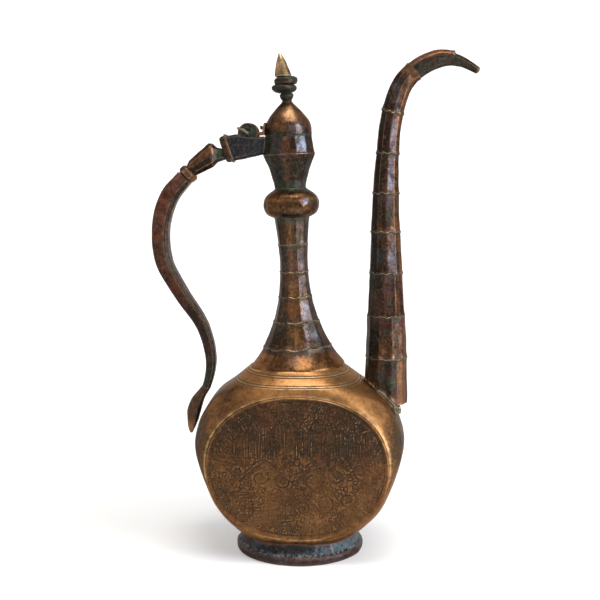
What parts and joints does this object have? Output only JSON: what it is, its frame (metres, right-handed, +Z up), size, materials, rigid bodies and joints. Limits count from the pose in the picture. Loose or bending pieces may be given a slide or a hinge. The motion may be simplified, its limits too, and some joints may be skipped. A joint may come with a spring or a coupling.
{
  "type": "copper ewer",
  "caption": "Long-necked copper ewer with engraved oval discs, hinged domed lid, tall bent faceted spout and S-shaped handle.",
  "frame": {"origin": "on the floor under the middle of the whole ewer; the foot stands on z = 0 with its axis at x = -9.6 mm", "axes": "+Z up, +X towards the spout, -X towards the handle, -Y towards the front disc"},
  "size_m": [0.244, 0.0988, 0.3754],
  "materials": {
    "body_copper": "golden-brown hammered copper with bright worn edges",
    "dark_copper": "dark red-brown copper, faceted, with worn edges and green traces at the joints",
    "engraved_disc": "brown copper with dense low chased ornament",
    "foot_patina": "dark blue-grey patina with a red-brown worn rim",
    "solder_patina": "soldered seam with green-grey traces",
    "finial_brass": "worn yellow brass",
    "iron_wire": "dark iron wire"
  },
  "bodies": {
    "vessel": {"foot_ring": "foot_patina", "body_shell": "body_copper", "front_medallion": "engraved_disc", "rear_medallion": "engraved_disc", "neck": "body_copper", "neck_bulb": "body_copper", "mouth_cup": "dark_copper", "spout_collar": "solder_patina", "spout_tube": "dark_copper", "spout_beak": "dark_copper", "handle_bracket": "dark_copper", "handle_bracket_band": "dark_copper", "handle_knop": "dark_copper", "handle_ring": "dark_copper", "handle_grip": "dark_copper", "handle_grip_strip": "dark_copper", "handle_terminal": "dark_copper", "hinge_lug_front": "dark_copper", "hinge_lug_rear": "dark_copper", "hinge_pin": "iron_wire"},
    "lid": {"lid_dome": "body_copper", "lid_bezel": "dark_copper", "lid_leaf": "dark_copper", "lid_rivet_front": "iron_wire", "lid_rivet_rear": "iron_wire", "finial_stem": "iron_wire", "finial_washer": "dark_copper", "finial_bead": "dark_copper", "finial_lower_collar": "dark_copper", "finial_upper_collar": "dark_copper", "finial_cone": "finial_brass"}
  },
  "joints": [
    {"name": "lid_hinge", "type": "hinge", "parent": "vessel", "child": "lid", "pos_m": [-0.04781, 0, 0.31618], "axis": [0, -1, 0], "range_deg": [0, 110]}
  ]
}
